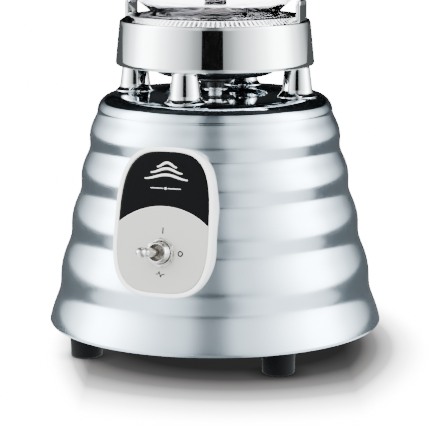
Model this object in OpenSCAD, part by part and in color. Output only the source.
// Countertop blender: ribbed motor base, jar ring on four posts, lobed glass jar, blades and lid.
// Millimetres. Z is up, the origin is on the axis at the plane that the feet stand on.
// The badge and its toggle switch face -Y, the jar's handle points to +X.

/* [Motor housing] */
// Radius of the skirt at its lower rim
skirt_r = 96.3; // [80:0.1:116]
// Radius of the skirt where the shoulder begins
neck_r = 69; // [66:0.1:83]
// Height of the housing from its lower rim to its flat top
housing_h = 133; // [110:0.5:160]
// Radius of the rounded shoulder
shoulder_r = 10; // [6:0.5:12]
// Thickness of the cast wall
wall = 2.6; // [2:0.1:3.2]
// Number of ribs round the skirt
rib_count = 5; // [3:1:8]
// Height of each rib over the one below it
rib_ratio = 0.88; // [0.7:0.01:1]
// Depth of a rib from crest to valley
rib_depth = 1.8; // [0.4:0.1:2.4]
// How far the lowest rib would run below the rim
rib_lap = 15; // [5:1:18]

/* [Feet] */
// Height of the lower rim over the table
foot_h = 14; // [10:0.5:18]
// Radius of a foot where it stands
foot_r = 9; // [7:0.5:11]
// Distance of the feet inside the rim
foot_inset = 14.8; // [13:0.1:18]

/* [Jar ring] */
// Distance of the posts from the axis
post_circle_r = 49.5; // [46:0.1:51]
// Radius of a post under the ring
post_top_r = 7.2; // [6:0.1:8]
// Radius of a post above its flare
post_foot_r = 9.3; // [7.5:0.1:10]
// Height of the posts
post_h = 17; // [14:0.5:21]
// Outer radius of the ring at its lower edge
ring_r = 57.3; // [56:0.1:64]
// Height of the ring's band
ring_h = 25; // [21:0.5:30]
// How much narrower the band is at its upper edge
ring_draft = 2.4; // [0:0.1:3]
// Height of the prongs over the ring's bevel
prong_h = 9.8; // [6:0.1:11]
// Width of a prong
prong_w = 15; // [10:0.5:18]
// Thickness of a prong
prong_t = 2.8; // [2:0.1:3.4]

/* [Badge] */
// Half the badge's width at its middle
badge_a = 28.6; // [24:0.1:34]
// Half the badge's height
badge_b = 41; // [38:0.1:46]
// Exponent of the badge's rounded outline
badge_power = 3.2; // [2.4:0.1:5]
// Share by which the badge narrows towards its top
badge_taper = 0.04; // [0:0.01:0.1]
// Distance of the badge's face outside the rib crests
badge_lift = 3; // [2:0.1:4.5]
// Lean of the badge from upright, in degrees
badge_tilt = 11; // [8:0.5:14]
// Width of the bezel's border
badge_border = 2.4; // [1.5:0.1:4]
// Distance of the switch below the badge's middle
switch_drop = 16.4; // [12:0.1:20]

/* [Toggle switch] */
// Radius of the switch's threaded bushing
bushing_r = 6; // [5:0.1:7]
// How far the bushing stands out of the badge
bushing_out = 8.4; // [6:0.1:10]
// Width of the nut across its flats
nut_flats = 14.2; // [13:0.1:17]
// Radius of the lever's shank
lever_r = 2.5; // [2:0.1:3]
// Distance from the lever's pivot to its tip
lever_l = 34.5; // [28:0.5:42]

/* [Motor] */
// Radius of the motor's shaft
shaft_r = 4; // [3.5:0.1:5]
// Radial clearance of a shaft in its bearing
run_gap = 0.05; // [0.02:0.01:0.08]
// Radius of the armature
armature_r = 17; // [15:0.5:20]
// Height of the lamination stacks
stack_h = 30; // [24:1:36]
// Width of the stator across its flats
stator_w = 60; // [54:1:70]
// Radius of the cooling fan
fan_r = 27; // [22:0.5:32]

/* [Drive] */
// Width of the square drive stud
stud_w = 8; // [7:0.1:9]
// Gap on each side of the stud in its socket
stud_gap = 0.25; // [0.15:0.05:0.4]
// Radius of the drive socket
socket_r = 11; // [9.5:0.1:12]

/* [Jar] */
// Radius of the jar's threaded nut
nut_r = 43; // [42:0.1:43.8]
// Number of flutes round the nut
flute_count = 60; // [24:2:90]
// Radius of the nut's lower skirt
nut_skirt_r = 35.3; // [33:0.1:36.2]
// Height of the nut's lower skirt
nut_skirt_h = 14; // [12:0.5:17]
// Height of the nut above the ledge that it rests on
nut_cup_h = 20.5; // [17:0.5:24]
// Radius of the jar's neck over its thread
neck_thread_r = 37; // [36:0.1:38]
// Height of the glass above the nut
jar_h = 169; // [140:1:200]
// Mean radius of the jar at its mouth
mouth_r = 60.5; // [56:0.5:64]
// Thickness of the glass wall
glass_wall = 4; // [3:0.1:5]
// How far the handle reaches from the axis
handle_reach = 94; // [88:0.5:96]

/* [Blades] */
// Length of the lower blade from tip to tip
lower_blade_l = 56; // [44:1:60]
// Length of the upper blade from tip to tip
upper_blade_l = 50; // [40:1:56]
// Radius of the blades' shaft
blade_shaft_r = 3; // [2.5:0.1:3.5]

/* [Lid] */
// Height of the lid's rim over the jar's mouth
lid_h = 13; // [10:0.5:18]
// Depth of the lid's plug in the jar
plug_h = 14; // [10:0.5:18]
// Radius of the filler hole
filler_r = 24; // [20:0.5:28]

/* [Hidden] */
$fn = 96;
eps = 0.01;            // overlap that joins two shapes of one piece
slip = 0.1;            // gap between pieces that only rest on each other
play = 0.4;            // gap round pieces that come apart by hand

chrome = [0.80, 0.82, 0.84];
steel = [0.62, 0.63, 0.65];
black = [0.06, 0.06, 0.07];
copper = [0.72, 0.42, 0.22];
brass = [0.78, 0.64, 0.32];
iron = [0.36, 0.36, 0.38];
glass = [0.86, 0.93, 0.95, 0.35];

// Heights, from the table up
rim_z = foot_h;
top_z = rim_z + housing_h;
shoulder_z = top_z - shoulder_r;             // where the skirt becomes the shoulder
skirt_h = shoulder_z - rim_z;
skirt_slope = (skirt_r - neck_r) / skirt_h;
ring_z = top_z + post_h;                     // lower edge of the ring
ring_top_z = ring_z + ring_h;                // upper edge of its band
bevel_h = 3.2;
bevel_w = 6;
ledge_t = 3;
ledge_z = ring_z + 5 + ledge_t;              // face that the jar's nut rests on
inner_top_z = top_z - wall;                  // underside of the housing's top
dish_r = 30;                                 // shallow dish under the jar
dish_depth = 2;

// Skirt
rib_total = skirt_h + rib_lap;
rib_first = rib_ratio == 1 ? rib_total / rib_count
    : rib_total * (1 - rib_ratio) / (1 - pow(rib_ratio, rib_count));
// Height over the rim of the valley under rib i
function valley(i) = -rib_lap + (rib_ratio == 1 ? i * rib_first
    : rib_first * (1 - pow(rib_ratio, i)) / (1 - rib_ratio));
function rib_at(h) = max([for (i = [0:rib_count - 1]) if (h >= valley(i) - eps) i]);
function rib_turn(h) = let (i = rib_at(h)) 360 * (h - valley(i)) / (valley(i + 1) - valley(i));
function mean_radius(h) = skirt_r - skirt_slope * h;
function skirt_radius(h) = mean_radius(h) - rib_depth / 2 * cos(rib_turn(h));

// Posts, ring and prongs
post_flare_h = 3;
post_flare = 2.2;
post_bore_r = 2.1;
ring_wall = 3;
ring_inner_r = nut_r + 1.5;
ring_bevel_r = ring_r - ring_draft - bevel_w;
prong_r = ring_bevel_r + 1.3;                // inner face of the prongs
ring_screw_l = post_h + 16;

// Badge plane: its local origin is the middle of the badge's face, Z points out of it
badge_h = 71.7;                              // height of the badge's middle over the rim
badge_sink = 1.11;                           // how much nearer the skirt its ends may stand
// Radius of the badge's middle, which keeps its whole face outside the skirt
badge_r = badge_lift + rib_depth / 2 - badge_sink + max([
    for (h = [-badge_b, 0, badge_b]) mean_radius(badge_h + h * cos(badge_tilt)) + h * sin(badge_tilt)
]);
badge_inlay_t = 0.8;
badge_step = 0.4;                            // border's rise over the inlays
badge_depth = 18;                            // how far the bezel's sides reach back to the skirt
inlay_arc_r = 39;
inlay_arc_top = 8.5;                          // top of the arc that parts the inlays, over the middle
// Depth of the switch's seat behind the badge's face
switch_seat = 6.15 + badge_r + switch_drop * sin(badge_tilt)
    - mean_radius(badge_h - switch_drop * cos(badge_tilt));
switch_face = -badge_step;                   // face that the washer lies on

// Motor, hung from the housing's top
bracket_z = inner_top_z - 15;                // upper face of the upper bracket
bracket_t = 5;
bearing_r = 8;
bearing_h = 12;
fan_z = bracket_z - bracket_t - 12;          // middle plane of the fan
fan_h = 9;
stack_z = fan_z - fan_h / 2 - 9 - stack_h;   // lower face of the lamination stacks
winding_h = 7;
commutator_h = 12;
commutator_r = 11;
commutator_z = stack_z - winding_h - 1 - commutator_h;
lower_bracket_z = commutator_z - 3 - bracket_t;
lower_boss_z = lower_bracket_z - 3.5;
lower_boss_h = 9;
shaft_z = lower_boss_z - 2;
motor_corner = stator_w / 2 - 5;             // through bolts from the axis, in X and Y
mount_r = 47;                                // rubber mounts from the axis
air_gap = 0.8;

// Drive, from the housing's top up
seal_h = 3;
stud_shoulder_z = top_z + 5.4;
stud_shoulder_h = 1.2;
stud_grip = 2;                               // how far the stud's collar reaches down over the shaft
stud_shoulder_r = 5.4;
socket_z = stud_shoulder_z + stud_shoulder_h + 0.6;
nut_floor_z = ledge_z - 1.5;                 // underside of the nut's inner floor
nut_floor_t = 3;
flange_z = nut_floor_z + nut_floor_t;        // bearing housing's flange lies here
flange_t = 1.5;
flange_r = 33.5;
gasket_t = 2;
neck_z = flange_z + flange_t + gasket_t;     // lower end of the glass
nut_z = ledge_z - nut_skirt_h;               // lower edge of the nut
nut_top_z = ledge_z + slip + nut_cup_h;
neck_inner_r = 30;
dome_top_z = nut_top_z + 4.5;                // top of the bearing housing
bush_r = 5.4;
stud_top_z = nut_floor_z - 3;
socket_top_z = nut_floor_z + 1;

// Jar
jar_z = nut_top_z + 0.7;                     // where the glass shoulder begins
mouth_z = jar_z + jar_h;
jar_sides = 40;
thread_pitch = 5;
// Outer wall of the jar: [height over jar_z, mean radius, depth of the lobes]
jar_foot_r = 36.3;
jar_levels = [
    [0, jar_foot_r, 0], [3.2, jar_foot_r + 3.2, 0.3], [7, jar_foot_r + 7.6, 0.9], [11,
        jar_foot_r + 12, 1.5],
    [16, jar_foot_r + 15.4, 2.4], [24, jar_foot_r + 17.6, 3.2], [48, mouth_r - 5, 3.6],
    [jar_h - 62, mouth_r - 2.8, 2.8], [jar_h - 18, mouth_r - 1, 0.6], [jar_h - 8, mouth_r, 0],
        [jar_h, mouth_r, 0]
];
handle_t = 15;                               // handle's size along Y
handle_bar = 10;
handle_low = jar_z + 46;
handle_high = jar_z + 142;

// Blades
blade_z = dome_top_z + 1.2;
blade_t = 1.5;
blade_w = 13;
spacer_t = 1.4;
cap_nut_h = 6;

// Lid
lid_r = mouth_r + 4;
lid_wall = 3;
plug_r = mouth_r - glass_wall - 1.6;
seal_r = mouth_r - glass_wall - play;
lid_top_z = mouth_z + lid_h;
cap_r = filler_r - play;

// ---------- Helpers ----------

module turned(points) { rotate_extrude() polygon(points); }
module tube(r_out, r_in, h) { difference() { cylinder(r = r_out, h = h); translate([0, 0, -1])
    cylinder(r = r_in, h = h + 2); } }
module round_about(count, r, start = 0) {
    for (i = [0:count - 1]) rotate(start + i * 360 / count) translate([r, 0, 0]) children();
}
// Screw with a round head, its head's upper face at the origin, shank along -Z
module pan_screw(shank_r, length, head_r, head_h) {
    difference() {
        union() {
            translate([0, 0, -head_h]) cylinder(r = head_r, h = head_h);
            translate([0, 0, -head_h - length]) cylinder(r = shank_r, h = length + eps);
        }
        for (a = [0, 90]) rotate(a) translate([-head_r * 0.6, -0.5, -head_h * 0.5])
            cube([head_r * 1.2, 1, head_h]);
    }
}

// ---------- Motor housing ----------

function skirt_points(grow) = [
    for (i = [0:48]) let (h = skirt_h * i / 48) [skirt_radius(h) + grow, rim_z + h]
];
function shoulder_points(grow) = [
    for (a = [0:10:90]) let (c = skirt_radius(skirt_h) - shoulder_r)
        [c + (shoulder_r + grow) * cos(a), shoulder_z + (shoulder_r + grow) * sin(a)]
];
// The housing's outside as a full solid, grown by a gap
module housing_bulk(grow = 0) {
    turned(concat([[0, rim_z]], skirt_points(grow), shoulder_points(grow), [[0, top_z + grow]]));
}
// Radius of the housing's cavity at height h over the rim
function hollow_radius(h) = mean_radius(h) - rib_depth / 2 - wall;
module housing_hollow() {
    turned([
        [0, rim_z - 1], [hollow_radius(-1), rim_z - 1],
        [hollow_radius(skirt_h - 2), shoulder_z - 2],
        [neck_r - rib_depth / 2 - wall - shoulder_r * 0.7, inner_top_z - dish_depth],
        [dish_r + 3, inner_top_z - dish_depth], [dish_r, inner_top_z - dish_depth], [0,
            inner_top_z - dish_depth]
    ]);
}
module at_badge(z = 0) {
    translate([0, -badge_r, rim_z + badge_h]) rotate([90 - badge_tilt, 0, 0]) translate([0, 0, z])
        children();
}
module at_switch(z = 0) { at_badge(z) translate([0, -switch_drop, 0]) children(); }
plate_screw_turn = 22.5;
plate_boss_r = 5;
plate_boss_c = skirt_r - wall - rib_depth - 12;
grommet_h = 16;                              // height of the cord inlet over the rim
grommet_r = 7;
cord_hole_r = 3.6;
module motor_housing() color(chrome) difference() {
    union() {
        difference() { housing_bulk(); housing_hollow(); }
        // seat of the switch, bosses of the bottom plate and of the motor's mounts
        intersection() { at_switch(-switch_seat) cylinder(r = 12, h = 7); housing_bulk(-0.5); }
        round_about(4, plate_boss_c, plate_screw_turn) translate([0, 0, rim_z + 4.4]) boss_column(11);
        round_about(4, mount_r, 45) translate([0, 0, bracket_z + mount_lip]) cylinder(r = 5,
            h = inner_top_z - bracket_z - 3);
    }
    translate([0, 0, top_z - dish_depth]) cylinder(r = dish_r, h = dish_depth + 1);
    translate([0, 0, inner_top_z - 6]) cylinder(r = bearing_r + 3, h = 12);
    round_about(4, post_circle_r, 0) translate([0, 0, inner_top_z - 6]) cylinder(r = post_bore_r, h = 12);
    round_about(4, mount_r, 45) translate([0, 0, bracket_z]) cylinder(r = mount_screw_r + slip, h = 12);
    round_about(4, plate_boss_c, plate_screw_turn) translate([0, 0, rim_z]) cylinder(r = 1.6, h = 14);
    at_switch(-30) cylinder(r = bushing_r + 0.3, h = 60);
    at_cord() cylinder(r = grommet_r, h = skirt_r + 10);
}
module boss_column(h) {
    cylinder(r = plate_boss_r, h = h);
    translate([0, -2, 0]) cube([skirt_r - wall - plate_boss_c - 2, 4, h]);
}

// ---------- Jar ring on its posts ----------

module support_posts() color(chrome) round_about(4, post_circle_r) translate([0, 0, top_z]) difference() {
    union() {
        cylinder(r1 = post_foot_r, r2 = post_top_r, h = post_h);
        turned(concat([[0, 0]], [for (a = [0:15:90])
            [post_foot_r + post_flare * (1 - sin(a)) - 0.25, post_flare_h * (1 - cos(a))]], [[0,
                post_flare_h]]));
    }
    translate([0, 0, -1]) cylinder(r = post_bore_r, h = post_h + 2);
}
module ring_section() {
    edge = 0.8;
    top_r = ring_r - ring_draft;
    polygon([
        [ring_inner_r, ring_z], [ring_r - edge, ring_z], [ring_r, ring_z + edge], [top_r, ring_top_z],
        [top_r - edge * 0.4, ring_top_z + edge * 0.7], [ring_bevel_r + 1, ring_top_z + bevel_h],
        [ring_bevel_r, ring_top_z + bevel_h], [ring_inner_r, ring_top_z + bevel_h - 1.5],
        [ring_inner_r, ledge_z], [nut_skirt_r + 2, ledge_z], [nut_skirt_r + 2, ledge_z - ledge_t],
        [ring_inner_r, ledge_z - ledge_t]
    ]);
}
module prong() {
    z0 = ring_top_z + bevel_h - 4;
    translate([prong_r, 0, 0]) rotate([90, 0, 90]) linear_extrude(prong_t) polygon(concat(
        [[-prong_w / 2, z0], [prong_w / 2, z0]],
        [for (s = [0, 1]) for (a = [0:22.5:90]) let (t = s * 90 + a, r = 3)
            [(s == 0 ? 1 : -1) * (prong_w / 2 - r) + r * cos(t),
                ring_top_z + bevel_h + prong_h - r + r * sin(t)]]
    ));
}
module jar_ring() color(chrome) difference() {
    union() {
        rotate_extrude() ring_section();
        for (a = [0, 180]) rotate(a) prong();
    }
    // channel cast into the underside, between the four screw bosses
    difference() {
        translate([0, 0, ring_z - 1]) tube(ring_r - ring_draft - ring_wall,
            ring_inner_r + ring_wall, ring_h - 2);
        round_about(4, post_circle_r) translate([0, 0, ring_z - 2]) cylinder(r = post_top_r, h = ring_h);
    }
    round_about(4, post_circle_r) translate([0, 0, ring_z - 1]) cylinder(r = 1.6, h = 16);
}
module ring_screws() color(steel)
    round_about(4, post_circle_r) translate([0, 0, inner_top_z - dish_depth - 2.4]) mirror([0, 0, 1])
        pan_screw(1.6 - slip, ring_screw_l, 4, 2.4);

// ---------- Underside ----------

plate_t = 2.4;
plate_z = rim_z + 2;
foot_c = skirt_r - foot_inset;
plate_r = hollow_radius(plate_z + plate_t - rim_z) - 0.6;
vent_r = 33;                                 // radius of the middle grille
module bottom_plate() color(black) difference() {
    translate([0, 0, plate_z]) cylinder(r = plate_r, h = plate_t);
    round_about(4, plate_boss_c, plate_screw_turn) translate([0, 0, plate_z - 1]) cylinder(r = 1.8,
        h = 8);
    round_about(4, foot_c, 45) translate([0, 0, plate_z - 1]) cylinder(r = 3.2, h = 8);
    for (i = [-3:3], s = [0, 180]) rotate(s)
        translate([3, i * 8 - 1.6, plate_z - 1]) cube([sqrt(vent_r * vent_r - 64 * i * i) - 3, 3.2, 8]);
    round_about(12, 56, 15) translate([-9, -1.5, plate_z - 1]) cube([18, 3, 8]);
}
module bottom_screws() color(steel)
    round_about(4, plate_boss_c, plate_screw_turn) translate([0, 0, plate_z - 1.8]) mirror([0, 0,
        1]) pan_screw(1.5, 11, 3.2, 1.8);
module feet() color(black) round_about(4, foot_c, 45) {
    cylinder(r = foot_r, h = 6);
    translate([0, 0, 6]) cylinder(r1 = foot_r, r2 = foot_r + 0.8, h = plate_z - 6);
    translate([0, 0, plate_z - eps]) cylinder(r = 3.1, h = plate_t + 0.2);
    translate([0, 0, plate_z + plate_t + 0.1]) cylinder(r1 = 4.4, r2 = 2.6, h = 3);
}
module cord_grommet() color(black) difference() {
    outer = skirt_radius(grommet_h - grommet_r - 2);
    inner = hollow_radius(grommet_h + grommet_r + 2) - 0.4;
    union() {
        at_cord() translate([0, 0, inner]) cylinder(r = grommet_r - slip, h = outer - inner + 2);
        at_cord() translate([0, 0, inner - 2.5]) cylinder(r = grommet_r + 2, h = 2.5);
        at_cord() translate([0, 0, outer + 0.2]) cylinder(r = grommet_r + 2, h = 1);
        at_cord() translate([0, 0, outer + 1.2 - eps]) cylinder(r1 = grommet_r + 2, r2 = grommet_r,
            h = 1.6);
    }
    at_cord() translate([0, 0, inner - 10]) cylinder(r = cord_hole_r, h = 40);
}
module at_cord() { translate([0, 0, rim_z + grommet_h]) rotate([-90, 0, 0]) children(); }

// ---------- Badge and toggle switch ----------

function badge_outline(inset) = [
    for (i = [0:71]) let (t = i * 5, c = cos(t), s = sin(t), p = 2 / badge_power, v = sign(s)
        * pow(abs(s), p))
        [(badge_a - inset) * (1 - badge_taper * v) * sign(c) * pow(abs(c), p), (badge_b - inset) * v]
];
module inlay_shape(upper) intersection() {
    polygon(badge_outline(badge_border + slip));
    if (upper) difference() {
        translate([0, badge_b]) square([4 * badge_a, 4 * badge_b], center = true);
        translate([0, inlay_arc_top - inlay_arc_r]) circle(r = inlay_arc_r + slip / 2);
        translate([0, -badge_b]) square([4 * badge_a, 1.4 * badge_b], center = true);
    }
    else translate([0, inlay_arc_top - inlay_arc_r]) circle(r = inlay_arc_r - slip / 2);
}
module badge_bezel() color([0.93, 0.93, 0.92]) difference() {
    at_badge(-badge_depth) linear_extrude(badge_depth) polygon(badge_outline(0));
    housing_bulk(slip);
    at_badge(-badge_step - badge_inlay_t) linear_extrude(5) polygon(badge_outline(badge_border));
    at_switch(-20) cylinder(r = bushing_r + 0.3, h = 30);
}
module badge_upper_inlay() color(black)
    at_badge(-badge_step - badge_inlay_t) linear_extrude(badge_inlay_t) inlay_shape(true);
module badge_lower_inlay() color([0.78, 0.78, 0.76])
    difference() {
        at_badge(-badge_step - badge_inlay_t) linear_extrude(badge_inlay_t) inlay_shape(false);
        at_switch(-20) cylinder(r = bushing_r + 0.3, h = 30);
    }
lever_pivot = bushing_out - 9.9;             // height of the lever's pivot over the badge's face
bushing_bore_r = 4;
pivot_pin_r = 0.9;                           // pin that the lever tilts on
case_w = 16;                                 // switch case behind its bushing
case_l = 28;
case_h = 19;
module switch_body() color(steel) difference() {
    union() {
        at_switch(-switch_seat - 1) cylinder(r = bushing_r, h = switch_seat + bushing_out + 1);
        at_switch(-switch_seat - case_h) translate([-case_w / 2, -case_l / 2, 0]) cube([case_w,
            case_l, case_h]);
    }
    at_switch(lever_pivot - 4.5) cylinder(r = bushing_bore_r, h = 20);
    at_switch(lever_pivot) rotate([0, 90, 0]) cylinder(r = pivot_pin_r + run_gap,
        h = 2 * bushing_bore_r + 2, center = true);
    at_switch(bushing_out - 2.5) cylinder(r1 = bushing_bore_r, r2 = bushing_bore_r + 0.9, h = 2.6);
}
module switch_terminals() color(brass)
    at_switch(-switch_seat - case_h - 8) for (y = [-9, 0, 9]) translate([-3.2, y - 0.4, 0])
        cube([6.4, 0.8, 8]);
module switch_washer() color(steel) at_switch(switch_face) tube(nut_flats / 2 + 0.6,
    bushing_r + slip, 0.6);
module switch_nut() color(chrome) at_switch(switch_face + 0.6) difference() {
    cylinder(r = nut_flats / sqrt(3), h = 2.4, $fn = 6);
    translate([0, 0, -1]) cylinder(r = bushing_r + slip / 2, h = 5);
}
module switch_lever() color(chrome) at_switch(lever_pivot) {
    sphere(r = 3.3);
    rotate([0, 90, 0]) cylinder(r = pivot_pin_r, h = 2 * bushing_bore_r + 1.6, center = true);
    cylinder(r = lever_r * 0.85, h = lever_l - 8);
    translate([0, 0, 9.5]) cylinder(r1 = lever_r * 0.9, r2 = lever_r, h = lever_l - 18);
    translate([0, 0, lever_l - 8.5]) cylinder(r1 = lever_r, r2 = lever_r * 0.8, h = 1.8);
    translate([0, 0, lever_l - 6.8]) cylinder(r1 = lever_r * 0.8, r2 = lever_r * 0.95, h = 3);
    translate([0, 0, lever_l - lever_r * 1.15]) sphere(r = lever_r * 1.15);
}

// ---------- Motor ----------

// Cross-shaped bracket with its lower face at z, arms that reach arm_r and a bearing boss of boss_h over z

module bracket(z, arm_r, boss_z, boss_h) difference() {
    union() {
        for (a = [45, 135]) rotate(a) translate([-arm_r, -5, z]) cube([2 * arm_r, 10, bracket_t]);
        translate([0, 0, boss_z]) cylinder(r = bearing_r + 3, h = boss_h);
    }
    translate([0, 0, boss_z - 1]) cylinder(r = bearing_r, h = boss_h + 2);
    at_corners() translate([0, 0, z - 1]) cylinder(r = bolt_r + slip, h = bracket_t + 2);
}
module at_corners() { for (x = [-1, 1], y = [-1, 1]) translate([x * motor_corner, y * motor_corner,
    0]) children(); }
module upper_bracket() color(steel) difference() {
    bracket(bracket_z - bracket_t, mount_r + 5, bracket_z - bracket_t, bearing_h);
    round_about(4, mount_r, 45) translate([0, 0, bracket_z - 10])
        cylinder(r = mount_rubber_r + slip, h = 20);
}
module lower_bracket() color(steel) bracket(lower_bracket_z, motor_corner * sqrt(2) + 5,
    lower_boss_z, lower_boss_h);
module upper_bearing() color(brass) translate([0, 0, bracket_z - bracket_t]) tube(bearing_r,
    shaft_r + run_gap, bearing_h);
module lower_bearing() color(brass) translate([0, 0, lower_boss_z]) tube(bearing_r,
    shaft_r + run_gap, lower_boss_h);
mount_rubber_r = 3.4;
mount_lip = 2;                               // rubber over and under the bracket
module rubber_mounts() color(black) round_about(4, mount_r, 45) translate([0, 0, bracket_z])
    difference() {
    union() {
        translate([0, 0, -bracket_t - mount_lip]) cylinder(r = mount_rubber_r,
            h = bracket_t + 2 * mount_lip);
        translate([0, 0, -bracket_t - mount_lip]) cylinder(r = 5.2, h = mount_lip - slip);
        translate([0, 0, slip]) cylinder(r = 5.2, h = mount_lip - slip);
    }
    translate([0, 0, -20]) cylinder(r = mount_screw_r + 2 * slip, h = 40);
}
mount_screw_r = 1.5;
module mount_screws() color(steel) round_about(4, mount_r, 45)
    translate([0, 0, bracket_z - bracket_t - mount_lip - 2]) mirror([0, 0, 1])
        pan_screw(mount_screw_r, 15, 4, 2);
bolt_r = 2;
module motor_bolts() color(steel) at_corners() translate([0, 0, lower_bracket_z - 3]) {
    cylinder(r = 3.6, h = 3, $fn = 6);
    cylinder(r = bolt_r, h = bracket_z - lower_bracket_z + 3);
    translate([0, 0, bracket_z - lower_bracket_z + 3]) cylinder(r = 3.6, h = 2.4, $fn = 6);
}
module motor_spacers() color(steel) at_corners() {
    low = lower_bracket_z + bracket_t;
    high = stack_z + stack_h;
    translate([0, 0, low]) tube(3.4, bolt_r + slip, stack_z - low);
    translate([0, 0, high]) tube(3.4, bolt_r + slip, bracket_z - bracket_t - high);
}
module stator_core() color(iron) difference() {
    translate([0, 0, stack_z]) intersection() {
        translate([-stator_w / 2, -stator_w / 2, 0]) cube([stator_w, stator_w, stack_h]);
        cylinder(r = stator_w * 0.65, h = stack_h);
    }
    translate([0, 0, stack_z - 1]) cylinder(r = armature_r + air_gap, h = stack_h + 2);
    at_corners() translate([0, 0, stack_z - 1]) cylinder(r = bolt_r + slip, h = stack_h + 2);
    for (x = [-1, 1], y = [-1, 1]) translate([x * coil_x - 4.5, y * coil_y - 4.5, stack_z - 1])
        cube([9, 9, stack_h + 2]);
}
coil_x = 13.5;                               // coil sides from the middle plane
coil_y = armature_r + 2.5;
module field_coils() color(copper) for (s = [-1, 1]) {
    for (x = [-1, 1]) translate([x * coil_x - 3.8, s * coil_y - 2.9, stack_z - 5]) cube([7.6, 6.8,
        stack_h + 10]);
    for (z = [stack_z - 5, stack_z + stack_h + 1]) translate([-coil_x, s * coil_y - 2.9, z])
        cube([2 * coil_x, 6.8, 4]);
}
// The brushes lie over two arms of the lower bracket, and their springs push them to the commutator
brush_z = commutator_z + commutator_h / 2;
brush_l = 10;
brush_end = motor_corner * sqrt(2) - 5;
module brush_pair() { for (s = [45, 225]) rotate(s) children(); }
module brush_holders() color(brass) brush_pair() difference() {
    holder_z = lower_bracket_z + bracket_t;
    translate([commutator_r + 2, -4.2, holder_z]) cube([brush_end - commutator_r - 2, 8.4,
        brush_z + 4.6 - holder_z]);
    translate([commutator_r, -3.1, brush_z - 3.5]) cube([brush_end - commutator_r - 1.2, 6.2, 7]);
}
module carbon_brushes() color(black) brush_pair()
    translate([commutator_r + 0.2, -3, brush_z - 3.4]) cube([brush_l, 6, 6.8]);
module brush_springs() color(steel) brush_pair() translate([commutator_r + brush_l + 0.4, 0,
    brush_z]) rotate([0, 90, 0]) {
    spring_l = brush_end - 1.6 - commutator_r - brush_l;
    tube(2.3, 1.8, spring_l);
    for (i = [0:4]) translate([0, 0, i * (spring_l - 0.9) / 4]) tube(2.8, 1.8, 0.9);
}
module shaft_seal() color(black) translate([0, 0, inner_top_z - dish_depth]) difference() {
    union() {
        translate([0, 0, -2]) cylinder(r = bearing_r + 5, h = 2 - slip);
        translate([0, 0, -slip - eps]) cylinder(r = bearing_r + 3 - slip, h = seal_h);
    }
    translate([0, 0, -5]) cylinder(r = shaft_r + 0.4, h = 12);
}

// ---------- Rotor ----------

module motor_shaft() color(steel) translate([0, 0, shaft_z]) cylinder(r = shaft_r,
    h = stud_shoulder_z - shaft_z);
module armature_core() color(iron) difference() {
    translate([0, 0, stack_z]) tube(armature_r, shaft_r, stack_h);
    round_about(12, armature_r) translate([-5.5, -1, stack_z - 1]) cube([7, 2, stack_h + 2]);
}
module armature_windings() color(copper) {
    for (z = [stack_z + stack_h, stack_z - winding_h]) translate([0, 0, z])
        turned([[shaft_r, 0], [armature_r - 4, 0], [armature_r - 2.5, winding_h / 2],
            [armature_r - 4, winding_h],
            [shaft_r, winding_h]]);
    round_about(12, armature_r) translate([-5.3, -0.9, stack_z - eps]) cube([4, 1.8, stack_h + 2 * eps]);
}
module commutator() color(copper) difference() {
    translate([0, 0, commutator_z]) tube(commutator_r, shaft_r, commutator_h);
    round_about(12, commutator_r, 15) translate([-1, -0.3, commutator_z - 1]) cube([2, 0.6,
        commutator_h - 1]);
}
module cooling_fan() color([0.2, 0.22, 0.25]) translate([0, 0, fan_z - fan_h / 2]) {
    tube(9, shaft_r, fan_h);
    tube(fan_r, 8.5, 1.4);
    for (i = [0:9]) rotate(i * 36) translate([8, -0.7, 0]) rotate([0, 0, 18]) cube([fan_r - 9.5,
        1.4, fan_h]);
}
module slinger_washer() color(steel) translate([0, 0, top_z + 2.2]) tube(7.5, shaft_r, 0.8);
module drive_stud() color(steel) translate([0, 0, stud_shoulder_z]) {
    cylinder(r = stud_shoulder_r, h = stud_shoulder_h);
    translate([0, 0, -stud_grip]) tube(stud_shoulder_r, shaft_r, stud_grip + eps);
    intersection() {
        translate([-stud_w / 2, -stud_w / 2, 0]) cube([stud_w, stud_w, stud_top_z - stud_shoulder_z]);
        cylinder(r = stud_w * 0.64, h = stud_top_z);
        cylinder(r1 = stud_w * 0.64 + stud_top_z - stud_shoulder_z - 1, r2 = stud_w * 0.64 - 1,
            h = stud_top_z - stud_shoulder_z);
    }
}

// ---------- Jar ----------

function jar_radius(level, turn, inset) = level[1] - level[2] * cos(4 * turn) - inset;
function jar_ring_points(level, inset, z) = [
    for (i = [0:jar_sides - 1]) let (t = i * 360 / jar_sides, r = jar_radius(level, t, inset))
        [r * cos(t), r * sin(t), z]
];
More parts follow.
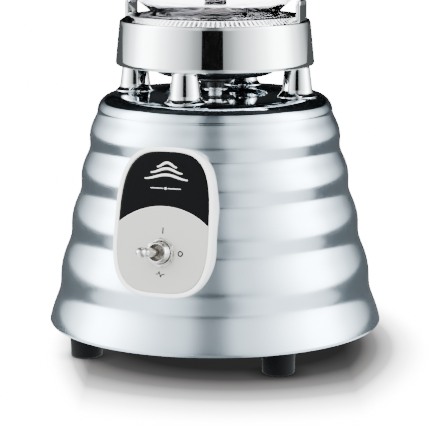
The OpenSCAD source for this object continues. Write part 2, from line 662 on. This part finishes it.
// A closed solid through rings of points, one ring above another
module lofted(rings) {
    n = len(rings[0]);
    m = len(rings);
    polyhedron(
        points = [for (ring = rings) each ring],
        faces = concat(
            [[for (i = [0:n - 1]) i]],
            [for (k = [0:m - 2], i = [0:n - 1]) [k * n + i, (k + 1) * n + i, (k + 1) * n + (i + 1)
                % n, k * n + (i + 1) % n]],
            [[for (i = [n - 1:-1:0]) (m - 1) * n + i]]
        )
    );
}
module jar_outside() lofted([for (l = jar_levels) jar_ring_points(l, 0, jar_z + l[0])]);
module jar_inside() {
    last = len(jar_levels) - 1;
    lofted(concat(
        [jar_ring_points([0, neck_inner_r, 0], 2, jar_z - 1)],
        [for (k = [1:last]) let (l = jar_levels[k])
            jar_ring_points(l, glass_wall * (k < 5 ? 1.3 : 1), jar_z + l[0] + (k == last ? 1 :
                k < 5 ? 4 : 0))]
    ));
}
module handle_shape(inset, inn) {
    r = 16 - inset;
    out = handle_reach - inset;
    polygon(concat(
        [[inn, handle_low + inset]],
        [for (a = [-90:15:0]) [out - r + r * cos(a), handle_low + 22 + inset + r + r * sin(a)]],
        [for (a = [0:15:90]) [out - r + r * cos(a), handle_high - inset - r + r * sin(a)]],
        [[inn, handle_high - inset]]
    ));
}
module jar_handle() rotate([90, 0, 0]) translate([0, 0, -handle_t / 2]) linear_extrude(handle_t)
    difference() {
    handle_shape(0, mouth_r - 8);
    handle_shape(handle_bar, mouth_r - 12);
}
module jar_neck() {
    translate([0, 0, neck_z]) cylinder(r = neck_thread_r - 1.2, h = jar_z - neck_z + eps);
    for (i = [0:1]) translate([0, 0, neck_z + 4 + i * thread_pitch]) turned([
        [neck_thread_r - 2, -1.4], [neck_thread_r, -0.5], [neck_thread_r, 0.5], [neck_thread_r - 2, 1.4]
    ]);
}
module jar_glass() color(glass) difference() {
    union() {
        jar_outside();
        jar_neck();
        jar_handle();
    }
    jar_inside();
    translate([0, 0, neck_z - 1]) cylinder(r = neck_inner_r, h = jar_z - neck_z + 1);
}
module blade_gasket() color(black)
    translate([0, 0, flange_z + flange_t + slip / 2]) tube(flange_r, neck_inner_r - 1, gasket_t - slip);
module bearing_housing() color(steel) turned([
    [bush_r, flange_z - 0.2], [13, flange_z - 0.2], [13, flange_z + slip], [flange_r, flange_z + slip],
    [flange_r, flange_z + flange_t], [24, flange_z + flange_t], [20, flange_z + flange_t + 4],
    [12.5, nut_top_z - 3], [10.5, nut_top_z - 2], [7.2, dome_top_z - 0.8], [6.4, dome_top_z],
        [bush_r, dome_top_z]
]);
module blade_bush() color(brass) translate([0, 0, flange_z]) tube(bush_r, blade_shaft_r + run_gap,
    dome_top_z - flange_z);
nut_wall = 3;
module jar_nut() color(black) difference() {
    union() {
        translate([0, 0, ledge_z + slip]) cylinder(r = nut_r, h = nut_cup_h);
        turned([[0, nut_z], [nut_skirt_r - 5, nut_z], [nut_skirt_r - 2, nut_z + 1],
            [nut_skirt_r - 0.5, nut_z + 3],
            [nut_skirt_r, nut_z + 5.5], [nut_skirt_r, ledge_z + 1], [0, ledge_z + 1]]);
    }
    translate([0, 0, nut_z - 1]) cylinder(r = nut_skirt_r - nut_wall - 3, h = nut_floor_z - nut_z + 1);
    translate([0, 0, nut_z - 1]) cylinder(r = 22, h = 60);
    translate([0, 0, flange_z]) cylinder(r = neck_thread_r + play, h = 60);
    round_about(flute_count, nut_r + 0.6) translate([0, 0, ledge_z + 4]) cylinder(r = 1.3,
        h = nut_cup_h + 5, $fn = 16);
}

// ---------- Blades ----------

module drive_socket() color(black) difference() {
    translate([0, 0, socket_z]) union() {
        cylinder(r1 = socket_r - 1, r2 = socket_r, h = 1);
        translate([0, 0, 1]) cylinder(r = socket_r, h = socket_top_z - socket_z - 1);
    }
    translate([-stud_w / 2 - stud_gap, -stud_w / 2 - stud_gap, socket_z - 1])
        cube([stud_w + 2 * stud_gap, stud_w + 2 * stud_gap, stud_top_z - socket_z + 2]);
    translate([0, 0, stud_top_z]) cylinder(r = blade_shaft_r, h = 20);
}
module blade_shaft() color(steel)
    translate([0, 0, stud_top_z + 1.4]) cylinder(r = blade_shaft_r,
        h = blade_z + 2 * blade_t + spacer_t + 2 - stud_top_z);
// A blade with two wings: its side view is bent upwards by bend degrees, its outline ends in ground points

module blade(length, z, bend, turn) color(steel) translate([0, 0, z]) rotate(turn) difference() {
    flat = 7;                                // half the length of its flat middle
    rise = (length / 2 - flat) * tan(bend);
    lift = blade_t / cos(bend);
    intersection() {
        rotate([90, 0, 0]) translate([0, 0, -blade_w]) linear_extrude(2 * blade_w) polygon([
            [-flat, 0], [flat, 0], [length / 2, rise], [length / 2, rise + lift],
            [flat - blade_t * tan(bend / 2), blade_t], [blade_t * tan(bend / 2) - flat, blade_t],
            [-length / 2, rise + lift], [-length / 2, rise]
        ]);
        translate([0, 0, -1]) linear_extrude(rise + lift + 2) for (s = [0, 180]) rotate(s) polygon([
            [-flat, -blade_w / 2], [length * 0.3, -blade_w / 2], [length / 2 - 0.5, blade_w * 0.16],
            [length * 0.44, blade_w / 2], [-flat, blade_w / 2]
        ]);
    }
    translate([0, 0, -1]) cylinder(r = blade_shaft_r, h = 10);
}
module lower_blade() blade(lower_blade_l, blade_z, 14, 20);
module upper_blade() blade(upper_blade_l, blade_z + blade_t + spacer_t, 38, 110);
module blade_spacer() color(steel) translate([0, 0, blade_z + blade_t]) tube(6.2, blade_shaft_r,
    spacer_t);
module blade_cap_nut() color(steel) translate([0, 0, blade_z + 2 * blade_t + spacer_t]) difference() {
    union() {
        cylinder(r = 5.6, h = cap_nut_h * 0.6, $fn = 6);
        translate([0, 0, cap_nut_h * 0.6]) cylinder(r1 = 4.7, r2 = 2.6, h = cap_nut_h * 0.4);
    }
    translate([0, 0, -1]) cylinder(r = blade_shaft_r, h = 1 + 3.5);
}

// ---------- Lid ----------

module lid() color(black) turned([
    [filler_r, mouth_z - 6], [filler_r + 3, mouth_z - 6], [filler_r + 3, lid_top_z - lid_wall - 2],
    [plug_r - lid_wall, lid_top_z - lid_wall - 4], [plug_r - lid_wall, mouth_z - plug_h],
    [plug_r - 0.6, mouth_z - plug_h], [plug_r, mouth_z - plug_h + 0.6], [plug_r, mouth_z + slip],
    [lid_r - 2.4, mouth_z + slip], [lid_r - 2.4, mouth_z - 5], [lid_r, mouth_z - 5], [lid_r,
        lid_top_z - 5],
    [lid_r - 1.2, lid_top_z - 2.4], [lid_r - 4.4, lid_top_z - 0.6], [lid_r - 8, lid_top_z],
    [filler_r + 3, lid_top_z], [filler_r + 0.8, lid_top_z - 0.4], [filler_r, lid_top_z - 1.2]
]);
module lid_seal() color([0.2, 0.2, 0.21]) for (z = [mouth_z - plug_h + 5.5, mouth_z - plug_h + 9.5])
    translate([0, 0, z]) turned([[plug_r + slip / 2, 0], [seal_r, 1], [seal_r, 1.6],
        [plug_r + slip / 2, 2.6]]);
module filler_cap() color(black) translate([0, 0, lid_top_z]) difference() {
    turned([
        [0, slip], [filler_r + 3.6, slip], [filler_r + 3.6, 3], [filler_r + 2.4, 4.4], [cap_r - 2,
            5], [cap_r - 4, 9],
        [cap_r - 5.2, 10.4], [0, 11]
    ]);
    turned([[0, -1], [cap_r - 2.6, -1], [cap_r - 2.6, 2], [cap_r - 6.6, 8], [0, 8.4]]);
}
module filler_cap_skirt() color(black)
    translate([0, 0, lid_top_z - 16]) tube(cap_r, cap_r - 2.6, 16 + slip + eps);

motor_housing();
support_posts();
jar_ring();
ring_screws();
bottom_plate();
bottom_screws();
feet();
badge_bezel();
badge_upper_inlay();
badge_lower_inlay();
switch_body();
switch_terminals();
switch_washer();
switch_nut();
switch_lever();
cord_grommet();
shaft_seal();
upper_bracket();
lower_bracket();
stator_core();
field_coils();
motor_bolts();
motor_spacers();
rubber_mounts();
mount_screws();
upper_bearing();
lower_bearing();
brush_holders();
carbon_brushes();
brush_springs();
motor_shaft();
armature_core();
armature_windings();
commutator();
cooling_fan();
slinger_washer();
drive_stud();
jar_glass();
blade_gasket();
bearing_housing();
blade_bush();
jar_nut();
drive_socket();
blade_shaft();
lower_blade();
upper_blade();
blade_spacer();
blade_cap_nut();
lid();
lid_seal();
union() { filler_cap(); filler_cap_skirt(); }
